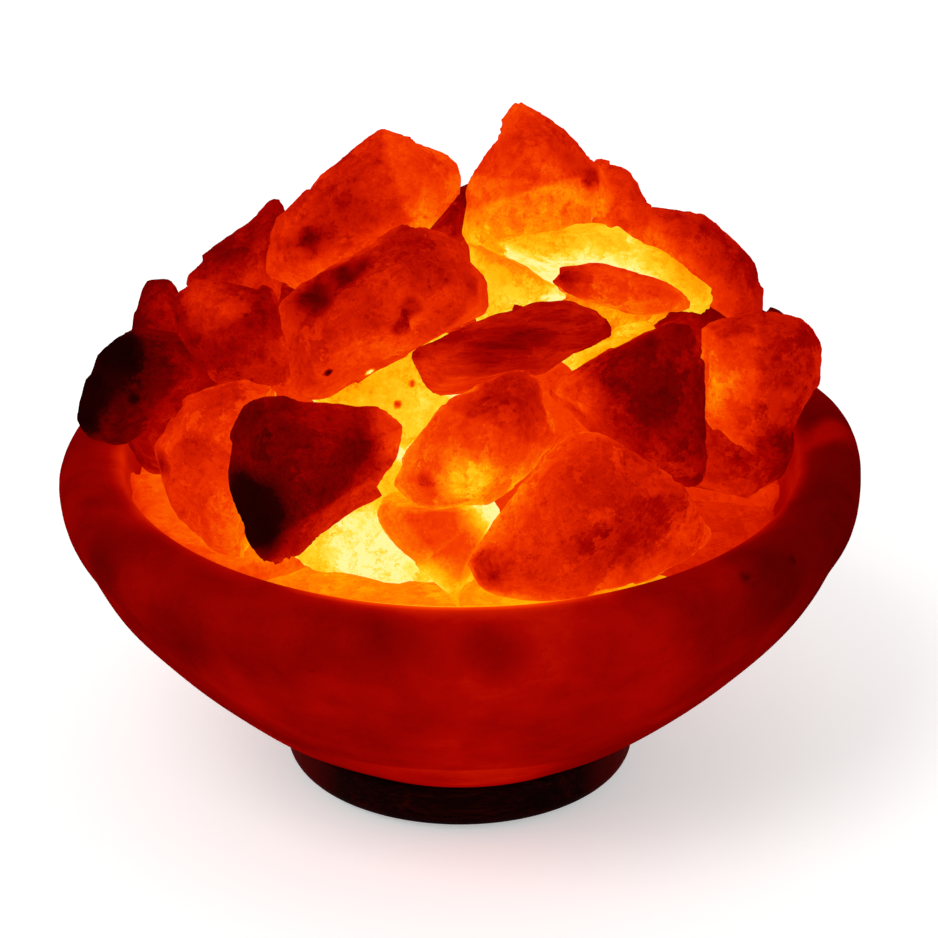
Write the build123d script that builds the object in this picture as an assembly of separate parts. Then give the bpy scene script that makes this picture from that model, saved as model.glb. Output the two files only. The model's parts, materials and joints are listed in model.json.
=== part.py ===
from build123d import *
import math
import os

import numpy as np

# Salt crystal lamp: a carved salt bowl heaped with loose salt stones, lit from inside by a small bulb,
# on a round wooden base. Millimetres, +Z up. The origin is on the floor, under the centre of the base,
# and the side that is seen faces -Y.

# ---------------------------------------------------------------------------- wooden base and its feet
BASE_DIAMETER = 100.0
BASE_HEIGHT = 13.0
BASE_TOP_ROUND = 1.5
BASE_BOTTOM_ROUND = 5.0
BORE_DIAMETER = 40.0          # shaft for the lamp holder, through the base and the floor of the bowl
CHANNEL_WIDTH = 9.0           # groove for the cord, under the base from the bore to the back
CHANNEL_DEPTH = 7.0
FOOT_DIAMETER = 11.0
FOOT_THICKNESS = 2.5
FOOT_RECESS = 1.0
FOOT_COUNT = 4
FOOT_CIRCLE = 77.0            # diameter of the circle that the feet stand on
FOOT_START_ANGLE = 45.0

# ---------------------------------------------------------------------------- screws, base to bowl
SCREW_DIAMETER = 4.0
SCREW_LENGTH = 20.0
SCREW_HEAD_DIAMETER = 8.0
SCREW_HEAD_HEIGHT = 2.4
SCREW_SINK = 0.6              # head below the face of the base
SCREW_SLOT_WIDTH = 1.0
SCREW_SLOT_DEPTH = 0.9
SCREW_COUNT = 3
SCREW_CIRCLE = 62.0
SCREW_START_ANGLE = -90.0
SCREW_CLEARANCE = 0.1         # radial, round shank and head

# ---------------------------------------------------------------------------- salt bowl
BOWL_DIAMETER = 228.0
BOWL_HEIGHT = 82.0
BOWL_FOOT_DIAMETER = 96.0
MOUTH_DIAMETER = 190.0        # inner edge of the lip
CAVITY_DEPTH = 60.0
LIP_OUTER_ROUND = 8.0
LIP_INNER_ROUND = 2.5
# Side of the bowl, from foot to lip: share of the way out, share of the way up.
OUTER_CURVE = [(0.0, 0.0), (0.24, 0.125), (0.45, 0.27), (0.64, 0.42), (0.82, 0.59), (0.935, 0.76)]
# Wall of the cavity, from lip to floor: share of the mouth's radius, share of the cavity's depth.
INNER_CURVE = [(0.985, 0.17), (0.93, 0.42), (0.80, 0.68), (0.60, 0.88), (0.36, 1.0)]

FOOT_TANGENT = (1.0, 0.62)    # direction in which the side leaves the foot
FLOOR_TANGENT = (-1.0, -0.12)  # direction in which the wall runs into the floor

# ---------------------------------------------------------------------------- lamp holder
HOLDER_DIAMETER = 27.0
HOLDER_BOTTOM = 3.5           # above the floor
HOLDER_HEIGHT = 36.0
HOLDER_TOP_ROUND = 1.5
SOCKET_DIAMETER = 14.0        # bore for the thread shell
SOCKET_DEPTH = 16.5
THREAD_SHELL_WALL = 0.7
THREAD_SHELL_LENGTH = 14.5
THREAD_SHELL_CLEARANCE = 0.1
CONTACT_DIAMETER = 10.0
CONTACT_THICKNESS = 1.0
GLAND_FLANGE_DIAMETER = 11.0
GLAND_DIAMETER = 8.0
GLAND_BORE = 5.5              # inlet for the cord
GLAND_FLANGE_HEIGHT = 1.5
COLLAR_WIDTH = 5.0            # steel band that carries the spring clips
COLLAR_THICKNESS = 0.8
COLLAR_BOTTOM = 6.0           # above the holder's underside
CLIP_THICKNESS = 0.8
CLIP_WIDTH = 8.0
CLIP_KNEE_RISE = 12.0
CLIP_TIP_RISE = 19.0
CLIP_TIP_INSET = 3.0
CLIP_COUNT = 2
CLIP_CLEARANCE = 0.2          # clip to bore wall
FIT_CLEARANCE = 0.1

# ---------------------------------------------------------------------------- bulb
CAP_DIAMETER = 11.7
CAP_LENGTH = 14.0
CAP_WALL = 0.6
THREAD_PITCH = 2.54
THREAD_DEPTH = 0.5
THREAD_TURNS = 4
TIP_DIAMETER = 7.0
TIP_HEIGHT = 2.2
TIP_PLUG = 1.5
TIP_GAP = 0.15                # under the tip, to the centre contact
GLASS_DIAMETER = 22.0
GLASS_LENGTH = 38.0
GLASS_BELLY_HEIGHT = 15.0     # widest place, above the cap
GLASS_WALL = 0.8
GLASS_NECK_DIAMETER = 11.0
STEM_DIAMETER = 3.6
STEM_LENGTH = 17.0
LEAD_DIAMETER = 0.5
LEAD_LENGTH = 7.0
LEAD_SET = 2.0                # length of a lead wire that is sealed in the stem
FILAMENT_HALF_SPAN = 5.0

# ---------------------------------------------------------------------------- heap of salt stones
HEAP_HEIGHT = 88.0            # crown of the heap above the lip
HEAP_SPREAD = 105.0           # radius where the heap's crown line comes down to the lip
HEAP_POWER = 2.5              # how flat the crown is
STONE_GAP = 0.3               # between neighbouring stones
WALL_GAP = 0.4                # between a stone and the bowl
BULB_ROOM = 17.0              # free radius round the bulb
BULB_HEADROOM = 12.0          # free height over the bulb
STONE_PLAN_RADIUS = 95.0      # mouth radius that the outlines below are drawn for
# The stones are drawn as seen from the front, on a plane that faces a viewer who looks down at the bowl.
SIGHT_TILT = 25.0             # degrees above the horizon
SIGHT_DISTANCE = 1200.0
BEVEL_FRONT = 38.0            # lean of a stone's flanks towards the viewer, degrees
BEVEL_BACK = 16.0
SIGHT_STEPS = 400             # steps along a line of sight when it is followed to the crown
ON_PLANE = 1e-6               # a point this near a plane lies on it
GRAZE = 0.03                  # a corner is never nearer than this to a plane that cuts its stone

# name, outline (right, up) from the centre of the mouth, depth of the front and back, how proud of the
# heap's crown line the outline lies. Stones that come first keep their shape, later ones are bedded on them.
SIGHT_STONES = [
    ("stone_front_right", [(2, -32), (11, -17), (27, 2), (34, 5), (40, 3), (64, -11), (81, -23), (74, -30),
                           (56, -39), (38, -42), (22, -42), (7, -37)], 9, 34, -6),
    ("stone_front_left", [(-65, -6), (-62, 11), (-56, 15), (-22, 11), (-15, 7), (-17, -2), (-23, -12),
                          (-52, -35), (-60, -27), (-64, -16)], 10, 31, -2),
    ("stone_centre", [(-20, -10), (-13, 2), (-2, 15), (12, 22), (19, 23), (23, 18), (27, 3), (20, -6),
                      (8, -15), (-7, -17), (-16, -14)], 10, 34, -8),
    ("stone_right_dark", [(24, 17), (40, 28), (54, 34), (60, 36), (65, 35), (68, 24), (69, -2), (67, -8),
                          (60, -9), (53, -6)], 9, 31, 0),
    ("stone_slab", [(-14, 28), (-2, 34), (22, 42), (32, 42), (42, 37), (43, 34), (23, 22), (-2, 14),
                    (-7, 15)], 8, 31, -4),
    ("stone_ridge", [(-51, 41), (-44, 48), (-11, 63), (1, 57), (7, 48), (7, 39), (-12, 28), (-38, 14),
                     (-46, 15)], 12, 31, 2),
    ("stone_left_low", [(-89, 1), (-78, 14), (-64, 19), (-46, 19), (-52, -2), (-56, -34), (-70, -28),
                        (-83, -15)], 8, 34, -8),
    ("stone_right_edge", [(68, 36), (86, 39), (97, 36), (101, 30), (101, 21), (91, -2), (78, 2), (69, 10),
                          (67, 24)], 8, 34, 4),
    ("stone_nose", [(24, 47), (28, 51), (40, 53), (58, 48), (66, 40), (50, 38), (34, 42)], 6, 28, 0),
    ("stone_left_dark", [(-109, 9), (-103, 27), (-93, 35), (-80, 32), (-67, 22), (-78, 12), (-94, 2),
                         (-104, 3)], 8, 31, 4),
    ("stone_left_upper", [(-81, 44), (-74, 49), (-53, 46), (-48, 32), (-46, 18), (-62, 18), (-70, 21),
                          (-81, 34)], 8, 34, -2),
    ("stone_bright", [(8, 58), (38, 63), (60, 55), (74, 40), (68, 34), (44, 38), (28, 43), (12, 50)],
     8, 34, -6),
    ("stone_peak", [(18, 97), (10, 88), (3, 77), (0, 62), (8, 54), (32, 54), (38, 64), (39, 78),
                    (31, 88)], 10, 34, -2),
    ("stone_peak_right", [(38, 82), (46, 79), (53, 71), (54, 65), (48, 57), (37, 60)], 7, 25, -4),
    ("stone_back_right", [(50, 68), (69, 66), (83, 54), (86, 46), (86, 38), (74, 36), (58, 52),
                          (46, 62)], 8, 31, -2),
    ("stone_crown_left", [(-22, 90), (-30, 88), (-40, 78), (-52, 70), (-54, 50), (-44, 46), (-10, 60),
                          (-1, 71), (0, 78), (-4, 82)], 10, 34, 0),
    ("stone_shoulder_left", [(-52, 71), (-64, 62), (-73, 55), (-77, 47), (-64, 38), (-52, 40),
                             (-48, 58)], 8, 31, -2),
    ("stone_left_tip", [(-93, 33), (-89, 47), (-81, 48), (-76, 36), (-80, 18), (-92, 18)], 6, 30, -2),
    ("stone_inner_left", [(-44, 22), (-12, 32), (4, 20), (-8, -8), (-26, -6), (-42, 8)], 6, 25, -26),
    ("stone_inner_front", [(-24, -14), (-16, -8), (8, -12), (13, -20), (10, -36), (4, -41), (-3, -40),
                           (-14, -29)], 6, 22, -16),
    ("stone_inner_top", [(0, 60), (10, 60), (26, 50), (32, 43), (20, 36), (4, 36), (2, 50)], 6, 25, -16),
    ("stone_notch", [(-10, 70), (8, 70), (8, 58), (-12, 58)], 6, 25, -17),
]

# Stones that lean out over the lip, and how far off upright their undersides may lean there, degrees.
RIM_STONES = ("stone_left_dark", "stone_left_tip", "stone_right_edge")
RIM_LEAN = 66.0

# Stones on the far side and low in the bowl: ring radius, height above the lip, half sizes (out, along
# the ring, up), count, first and last bearing in degrees. A bearing of 90 is straight back.
RING_STONES = [
    ("stone_rear_low", 72.0, 11.0, (20.0, 26.0, 24.0), 5, 12.0, 168.0),
    ("stone_rear_high", 42.0, 37.0, (22.0, 20.0, 20.0), 4, 25.0, 155.0),
]
CORE_STONES = [("stone_core", 40.0, 6.0, (30.0, 26.0, 34.0), 6, 0.0, 300.0)]
RING_LEAN = 0.22              # most that a ring stone leans: rise of its axis over its run
RING_TWIST = 1.9              # change from one ring stone to the next, radians
CORNER_BREAK = 0.62           # where a corner is cut off, as a share of the way out to it
CORNER_CHANGE = 0.12
CORNER_STEP = 1.7             # radians from one corner to the next
BED_COUNT = 8                 # stones that lie round the bulb on the floor of the bowl
BED_TOP = 12.0                # top of those stones, below the lip
BED_TOP_CHANGE = 4.0          # how much their tops differ
BED_TOP_STEP = 2.3            # radians from one to the next
BED_TOP_LEAN = 0.12
BED_START_ANGLE = 22.5
CAVITY_SIDES = 24             # flats that stand for the round wall where stones are cut to it
BULB_SPACE_SIDES = 8
LEAST_OVERLAP = 0.5           # cubic millimetres that two stones may share before one is bedded

# ---------------------------------------------------------------------------- heights that follow
BASE_BOTTOM = FOOT_THICKNESS - FOOT_RECESS
BASE_TOP = BASE_BOTTOM + BASE_HEIGHT
LIP_HEIGHT = BASE_TOP + BOWL_HEIGHT
CAVITY_FLOOR = LIP_HEIGHT - CAVITY_DEPTH
SOCKET_FLOOR = HOLDER_BOTTOM + HOLDER_HEIGHT - SOCKET_DEPTH
TIP_BOTTOM = SOCKET_FLOOR + CONTACT_THICKNESS + TIP_GAP
CAP_BOTTOM = TIP_BOTTOM + TIP_HEIGHT
GLASS_BOTTOM = CAP_BOTTOM + CAP_LENGTH
BULB_TOP = GLASS_BOTTOM + GLASS_LENGTH

SIGHT_RIGHT = np.array([1.0, 0.0, 0.0])
SIGHT_UP = np.array([0.0, math.sin(math.radians(SIGHT_TILT)), math.cos(math.radians(SIGHT_TILT))])
SIGHT_NEAR = np.array([0.0, -math.cos(math.radians(SIGHT_TILT)), math.sin(math.radians(SIGHT_TILT))])
MOUTH_CENTRE = np.array([0.0, 0.0, LIP_HEIGHT])


def turned(profile):
    """Solid of revolution about Z from a closed chain of lines in the XZ plane."""
    return revolve(make_face(profile), Axis.Z)


def tube(outer_diameter, inner_diameter, bottom, height):
    ring = Circle(outer_diameter / 2) - Circle(inner_diameter / 2)
    return extrude(Pos(0, 0, bottom) * ring, height)


def rod(diameter, bottom, height):
    return extrude(Pos(0, 0, bottom) * Circle(diameter / 2), height)


# ---------------------------------------------------------------------------- base, feet and screws
def foot_places():
    return PolarLocations(FOOT_CIRCLE / 2, FOOT_COUNT, FOOT_START_ANGLE)


def screw_places():
    return PolarLocations(SCREW_CIRCLE / 2, SCREW_COUNT, SCREW_START_ANGLE)


def screw_body(clearance):
    """Countersunk screw, point up, with its head's face at height zero."""
    head_radius = SCREW_HEAD_DIAMETER / 2 + clearance
    shank_radius = SCREW_DIAMETER / 2 + clearance
    length = SCREW_LENGTH + clearance
    point = SCREW_DIAMETER / 2
    profile = Polyline(
        (0, 0), (head_radius, 0), (shank_radius, SCREW_HEAD_HEIGHT), (shank_radius, length - point),
        (0, length), close=True)
    return turned(Plane.XZ * profile)


def wood_base():
    """Turned puck with the bore, the cord's groove, the feet's recesses and the screw holes."""
    body = rod(BASE_DIAMETER, BASE_BOTTOM, BASE_HEIGHT)
    body = fillet(body.edges().group_by(Axis.Z)[-1], BASE_TOP_ROUND)
    body = fillet(body.edges().group_by(Axis.Z)[0], BASE_BOTTOM_ROUND)
    body -= rod(BORE_DIAMETER, BASE_BOTTOM, BASE_HEIGHT)
    from_centre = (Align.CENTER, Align.MIN, Align.MIN)
    channel = Box(CHANNEL_WIDTH, BASE_DIAMETER, CHANNEL_DEPTH, align=from_centre)
    body -= Pos(0, 0, BASE_BOTTOM) * channel
    for place in foot_places():
        body -= place * rod(FOOT_DIAMETER, BASE_BOTTOM, FOOT_RECESS)
    for place in screw_places():
        body -= place * Pos(0, 0, BASE_BOTTOM + SCREW_SINK) * screw_body(SCREW_CLEARANCE)
        body -= place * rod(SCREW_HEAD_DIAMETER + 2 * SCREW_CLEARANCE, BASE_BOTTOM, SCREW_SINK)
    return body


def rubber_feet():
    return Compound([place * rod(FOOT_DIAMETER, 0, FOOT_THICKNESS) for place in foot_places()])


def base_screws():
    screw = screw_body(0)
    from_face = (Align.CENTER, Align.CENTER, Align.MIN)
    screw -= Box(SCREW_HEAD_DIAMETER, SCREW_SLOT_WIDTH, SCREW_SLOT_DEPTH, align=from_face)
    seat = Pos(0, 0, BASE_BOTTOM + SCREW_SINK)
    return Compound([place * seat * screw for place in screw_places()])


# ---------------------------------------------------------------------------- salt bowl
def outer_point(share_out, share_up):
    foot, side = BOWL_FOOT_DIAMETER / 2, BOWL_DIAMETER / 2
    return (foot + (side - foot) * share_out, BASE_TOP + BOWL_HEIGHT * share_up)


def inner_point(share_out, share_down):
    return (MOUTH_DIAMETER / 2 * share_out, LIP_HEIGHT - CAVITY_DEPTH * share_down)


def salt_bowl():
    """Bowl turned from one piece of salt, round lip, open bore in its floor."""
    side, mouth, bore = BOWL_DIAMETER / 2, MOUTH_DIAMETER / 2, BORE_DIAMETER / 2
    outer_top = (side, LIP_HEIGHT - LIP_OUTER_ROUND)
    inner_top = (mouth, LIP_HEIGHT - LIP_INNER_ROUND)
    outer_side = Spline([outer_point(*share) for share in OUTER_CURVE] + [outer_top],
                        tangents=[FOOT_TANGENT, (0, 1)])
    outer_lip = RadiusArc(outer_top, (side - LIP_OUTER_ROUND, LIP_HEIGHT), -LIP_OUTER_ROUND)
    inner_lip = RadiusArc((mouth + LIP_INNER_ROUND, LIP_HEIGHT), inner_top, -LIP_INNER_ROUND)
    inner_wall = Spline([inner_top] + [inner_point(*share) for share in INNER_CURVE],
                        tangents=[(0, -1), FLOOR_TANGENT])
    floor_edge = inner_point(*INNER_CURVE[-1])
    foot_edge = outer_point(*OUTER_CURVE[0])
    profile = [
        Line((bore, BASE_TOP), foot_edge), outer_side, outer_lip,
        Line((side - LIP_OUTER_ROUND, LIP_HEIGHT), (mouth + LIP_INNER_ROUND, LIP_HEIGHT)), inner_lip,
        inner_wall, Line(floor_edge, (bore, CAVITY_FLOOR)), Line((bore, CAVITY_FLOOR), (bore, BASE_TOP)),
    ]
    body = turned(Plane.XZ * Wire(profile))
    for place in screw_places():
        body -= place * Pos(0, 0, BASE_BOTTOM + SCREW_SINK) * screw_body(SCREW_CLEARANCE)
    return body


# ---------------------------------------------------------------------------- lamp holder
def lamp_holder():
    body = rod(HOLDER_DIAMETER, HOLDER_BOTTOM, HOLDER_HEIGHT)
    body = fillet(body.edges().group_by(Axis.Z)[-1], HOLDER_TOP_ROUND)
    body -= rod(SOCKET_DIAMETER, SOCKET_FLOOR, SOCKET_DEPTH)
    body -= rod(GLAND_DIAMETER, HOLDER_BOTTOM, SOCKET_FLOOR - HOLDER_BOTTOM)
    return body


def socket_thread_shell():
    outer = SOCKET_DIAMETER - 2 * THREAD_SHELL_CLEARANCE
    top = HOLDER_BOTTOM + HOLDER_HEIGHT
    return tube(outer, outer - 2 * THREAD_SHELL_WALL, top - THREAD_SHELL_LENGTH, THREAD_SHELL_LENGTH)


def socket_centre_contact():
    return rod(CONTACT_DIAMETER, SOCKET_FLOOR, CONTACT_THICKNESS)


def cord_gland():
    """Soft bush in the underside of the holder, where the cord comes in."""
    flange_bottom = HOLDER_BOTTOM - GLAND_FLANGE_HEIGHT
    sleeve_height = SOCKET_FLOOR - HOLDER_BOTTOM - FIT_CLEARANCE
    sleeve = rod(GLAND_DIAMETER - 2 * FIT_CLEARANCE, HOLDER_BOTTOM, sleeve_height)
    flange = rod(GLAND_FLANGE_DIAMETER, flange_bottom, GLAND_FLANGE_HEIGHT)
    return sleeve + flange - rod(GLAND_BORE, flange_bottom, SOCKET_FLOOR)


def clip_collar():
    bottom = HOLDER_BOTTOM + COLLAR_BOTTOM
    inner = HOLDER_DIAMETER + 2 * FIT_CLEARANCE
    return tube(inner + 2 * COLLAR_THICKNESS, inner, bottom, COLLAR_WIDTH)


def holder_clips():
    """Leaf springs that grip the bore: out from the collar to the wall, then back in at the tip."""
    root = HOLDER_DIAMETER / 2 + FIT_CLEARANCE + COLLAR_THICKNESS
    knee = math.sqrt((BORE_DIAMETER / 2 - CLIP_CLEARANCE) ** 2 - (CLIP_WIDTH / 2) ** 2)
    bottom = HOLDER_BOTTOM + COLLAR_BOTTOM
    outside = [(root + CLIP_THICKNESS, bottom), (root + CLIP_THICKNESS, bottom + COLLAR_WIDTH),
               (knee, bottom + CLIP_KNEE_RISE), (knee - CLIP_TIP_INSET, bottom + CLIP_TIP_RISE)]
    inside = [(x - CLIP_THICKNESS, z) for x, z in reversed(outside)]
    strip = make_face(Plane.XZ * Polyline(*outside, *inside, close=True))
    leaf = extrude(strip, CLIP_WIDTH / 2, both=True)
    return Compound([Rot(0, 0, index * 360 / CLIP_COUNT) * leaf for index in range(CLIP_COUNT)])


# ---------------------------------------------------------------------------- bulb
def bulb_tip():
    """Contact and glass insulator, plugged into the underside of the cap."""
    plug = CAP_DIAMETER / 2 - THREAD_DEPTH - CAP_WALL - FIT_CLEARANCE
    middle = TIP_BOTTOM + TIP_HEIGHT / 2
    top = CAP_BOTTOM + TIP_PLUG
    profile = Polyline((0, TIP_BOTTOM), (TIP_DIAMETER / 4, TIP_BOTTOM), (TIP_DIAMETER / 2, middle),
                       (plug, CAP_BOTTOM), (plug, top), (0, top), close=True)
    return turned(Plane.XZ * profile)


def bulb_cap():
    """Brass cap, with its thread as rounded ridges."""
    crest = CAP_DIAMETER / 2
    root = crest - THREAD_DEPTH
    body = rod(2 * root, CAP_BOTTOM, CAP_LENGTH)
    inside = root - CAP_WALL / 2
    flank, flat = THREAD_PITCH / 3, THREAD_PITCH / 8
    for turn in range(THREAD_TURNS):
        middle = CAP_BOTTOM + THREAD_PITCH * (turn + 1) - flat
        ridge = Polyline((inside, middle - flank), (root, middle - flank), (crest, middle - flat),
                         (crest, middle + flat), (root, middle + flank), (inside, middle + flank), close=True)
        body += turned(Plane.XZ * ridge)
    return body - rod(2 * (root - CAP_WALL), CAP_BOTTOM, CAP_LENGTH)


def glass_profile(inset):
    """Candle-shaped envelope, drawn in by the glass's thickness for the inside."""
    neck = GLASS_NECK_DIAMETER / 2 - inset
    belly = GLASS_DIAMETER / 2 - inset
    top = BULB_TOP - inset
    widest = GLASS_BOTTOM + GLASS_BELLY_HEIGHT
    lower = Spline([(neck, GLASS_BOTTOM), (belly, widest)], tangents=[(0, 1), (0, 1)])
    upper = Spline([(belly, widest), (0, top)], tangents=[(0, 1), (-1, 0)])
    profile = [Line((0, GLASS_BOTTOM), (neck, GLASS_BOTTOM)), lower, upper, Line((0, top), (0, GLASS_BOTTOM))]
    return turned(Plane.XZ * Wire(profile))


def bulb_glass():
    return glass_profile(0) - glass_profile(GLASS_WALL)


def bulb_stem():
    """Glass foot in the neck of the bulb, drawn up into the post that carries the wires."""
    foot = GLASS_NECK_DIAMETER / 2 - GLASS_WALL - FIT_CLEARANCE
    post = STEM_DIAMETER / 2
    top = GLASS_BOTTOM + STEM_LENGTH
    profile = Polyline((0, GLASS_BOTTOM), (foot, GLASS_BOTTOM), (post, GLASS_BOTTOM + STEM_DIAMETER),
                       (post, top), (0, top), close=True)
    return turned(Plane.XZ * profile)


def bulb_filament():
    """Two lead wires out of the stem, with the filament bent between their ends."""
    exit_height = GLASS_BOTTOM + STEM_LENGTH
    tip = exit_height + LEAD_LENGTH
    apart = STEM_DIAMETER / 4
    route = [(-apart, exit_height - LEAD_SET), (-apart, exit_height), (-FILAMENT_HALF_SPAN, tip),
             (0, tip + FILAMENT_HALF_SPAN),
             (FILAMENT_HALF_SPAN, tip), (apart, exit_height), (apart, exit_height - LEAD_SET)]
    wire = None
    for (x, z), (next_x, next_z) in zip(route, route[1:]):
        length = math.hypot(next_x - x, next_z - z)
        across = Plane(origin=(x, 0, z), z_dir=(next_x - x, 0, next_z - z))
        stretch = extrude(across * Circle(LEAD_DIAMETER / 2), length)
        wire = stretch if wire is None else wire + stretch
    for x, z in route[1:-1]:
        wire += Pos(x, 0, z) * Sphere(LEAD_DIAMETER / 2)
    return wire


# ---------------------------------------------------------------------------- convex stones
# A stone is a list of flat faces. Each face is a list of points that runs anticlockwise from outside.
def face_plane(face):
    normal = np.zeros(3)
    for here, after in zip(face, face[1:] + face[:1]):
        normal = normal + np.cross(here, after)
    normal = normal / np.linalg.norm(normal)
    return normal, float(np.mean([np.dot(normal, point) for point in face]))


def volume(stone):
    total = 0.0
    for face in stone:
        for index in range(1, len(face) - 1):
            total += np.dot(face[0], np.cross(face[index], face[index + 1])) / 6
    return total


def clip(stone, normal, offset):
    """Part of a stone on the inner side of a plane: where normal . point is at most offset."""
    heights = np.array([np.dot(normal, point) for face in stone for point in face]) - offset
    if not stone or heights.max() <= ON_PLANE:
        return stone
    if heights.min() >= -ON_PLANE:
        return []
    # A plane that would graze a corner is moved in a little, so that no edge is too short to hold.
    while np.any((np.abs(heights) > ON_PLANE) & (np.abs(heights) < GRAZE)):
        heights = heights + GRAZE
        offset = offset - GRAZE
    kept, cut_points = [], []
    for face in stone:
        ring = []
        for index, point in enumerate(face):
            following = face[(index + 1) % len(face)]
            low = float(np.dot(normal, point)) - offset
            high = float(np.dot(normal, following)) - offset
            if low <= ON_PLANE:
                ring.append(point)
            if abs(low) <= ON_PLANE:
                cut_points.append(point)
            elif abs(high) > ON_PLANE and low * high < 0:
                crossing = point + (following - point) * (low / (low - high))
                ring.append(crossing)
                cut_points.append(crossing)
        if len(ring) > 2:
            kept.append(ring)
    lid = ordered_lid(cut_points, normal)
    return kept + [lid] if lid else kept


def ordered_lid(points, normal):
    """Points of a cut, once each, anticlockwise about the cut's outward normal."""
    single = []
    for point in points:
        if all(np.linalg.norm(point - other) > 2 * ON_PLANE for other in single):
            single.append(point)
    if len(single) < 3:
        return None
    centre = sum(single) / len(single)
    across = single[0] - centre
    along = np.cross(normal, across)
    turn = [math.atan2(np.dot(point - centre, along), np.dot(point - centre, across)) for point in single]
    return [single[index] for index in np.argsort(turn)]


def block(planes):
    """Convex stone inside a list of (normal, offset) planes."""
    reach = 2 * BOWL_DIAMETER
    corners = [np.array([x, y, z]) for x in (-reach, reach) for y in (-reach, reach) for z in (-reach, reach)]
    sides = [(0, 1, 3, 2), (4, 6, 7, 5), (0, 4, 5, 1), (2, 3, 7, 6), (0, 2, 6, 4), (1, 5, 7, 3)]
    stone = [[corners[index] for index in side] for side in sides]
    for normal, offset in planes:
        stone = clip(stone, normal, offset)
    return stone


def through(point, normal):
    normal = normal / np.linalg.norm(normal)
    return normal, float(np.dot(normal, point))


def crown_height(x, y):
    """Height of the heap's crown line above the lip."""
    share = math.hypot(x, y) / HEAP_SPREAD
    return HEAP_HEIGHT * (1 - share ** HEAP_POWER)


def crown_depth(right, up):
    """How far towards the viewer the heap's crown lies, on a line of sight."""
    for step in range(SIGHT_STEPS):
        depth = BOWL_DIAMETER * (1 - 2 * step / SIGHT_STEPS)
        point = right * SIGHT_RIGHT + up * SIGHT_UP + depth * SIGHT_NEAR
        if point[2] < crown_height(point[0], point[1]):
            return depth
    return -up * math.tan(math.radians(SIGHT_TILT))


def sight_stone(outline, front, back, proud):
    """Stone with a given outline for the viewer, its flanks leaning in to the front and to the back."""
    scale = MOUTH_DIAMETER / 2 / STONE_PLAN_RADIUS
    middle = np.mean(outline, axis=0) * scale
    depth = crown_depth(*middle) + proud
    shrink = scale * (1 - depth / SIGHT_DISTANCE)
    points = [MOUTH_CENTRE + right * shrink * SIGHT_RIGHT + up * shrink * SIGHT_UP + depth * SIGHT_NEAR
              for right, up in outline]
    centre = sum(points) / len(points)
    planes = [through(centre + front * SIGHT_NEAR, SIGHT_NEAR)]
    planes.append(through(centre - back * SIGHT_NEAR, -SIGHT_NEAR))
    for here, after in zip(points, points[1:] + points[:1]):
        away = np.cross(SIGHT_NEAR, after - here)
        away = away / np.linalg.norm(away) * np.sign(np.dot(away, here - centre))
        for side, lean in ((1, BEVEL_FRONT), (-1, BEVEL_BACK)):
            lean = math.radians(lean)
            planes.append(through(here, math.cos(lean) * away + side * math.sin(lean) * SIGHT_NEAR))
    return block(planes)


def ring_stone(ring_radius, height, half_sizes, bearing, twist):
    """Rough block with its corners broken, set square to the bowl's radius."""
    out, along, up = outward(bearing), outward(bearing + math.pi / 2), level(1)
    centre = MOUTH_CENTRE + ring_radius * out + height * up
    lean = RING_LEAN * math.sin(twist)
    axes = [out + lean * up, along + lean / 2 * out, up - lean * out]
    planes = []
    for axis, half in zip(axes, half_sizes):
        planes.append(through(centre + half * axis, axis))
        planes.append(through(centre - half * axis, -axis))
    for index in range(8):
        signs = [1 if index & bit else -1 for bit in (1, 2, 4)]
        corner = sum(sign * half * axis for sign, half, axis in zip(signs, half_sizes, axes))
        reach = CORNER_BREAK + CORNER_CHANGE * math.sin(CORNER_STEP * index + twist)
        planes.append(through(centre + reach * corner, corner))
    return block(planes)


def level(height):
    return np.array([0.0, 0.0, height])


def outward(bearing):
    return np.array([math.cos(bearing), math.sin(bearing), 0.0])


def wall_planes(points):
    """Flat-sided space just inside a turned wall with the given profile, carried on above it."""
    inscribed = math.cos(math.pi / CAVITY_SIDES)
    planes = [through(level(CAVITY_FLOOR + WALL_GAP), level(-1))]
    for (radius_high, high), (radius_low, low) in zip(points, points[1:]):
        for index in range(CAVITY_SIDES):
            out = outward(2 * math.pi * index / CAVITY_SIDES)
            normal = (high - low) * out - level((radius_high - radius_low) * inscribed)
            planes.append(through(level(high) + (radius_high * inscribed - WALL_GAP) * out, normal))
    return planes


def cavity_planes():
    """Space in the bowl and straight up from its mouth."""
    return wall_planes([(MOUTH_DIAMETER / 2, LIP_HEIGHT)] + [inner_point(*share) for share in INNER_CURVE])


def over_rim_planes():
    """Space for a stone that leans out over the lip, off the round of its inner edge."""
    lean = math.radians(RIM_LEAN)
    round_radius, round_height = MOUTH_DIAMETER / 2 + LIP_INNER_ROUND, LIP_HEIGHT - LIP_INNER_ROUND
    clear = LIP_INNER_ROUND + WALL_GAP
    planes = wall_planes([inner_point(*share) for share in INNER_CURVE[1:]])
    for index in range(CAVITY_SIDES):
        out = outward(2 * math.pi * index / CAVITY_SIDES)
        normal = math.cos(lean) * out - level(math.sin(lean))
        planes.append(through(level(round_height) + round_radius * out - clear * normal, normal))
    return planes


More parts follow.
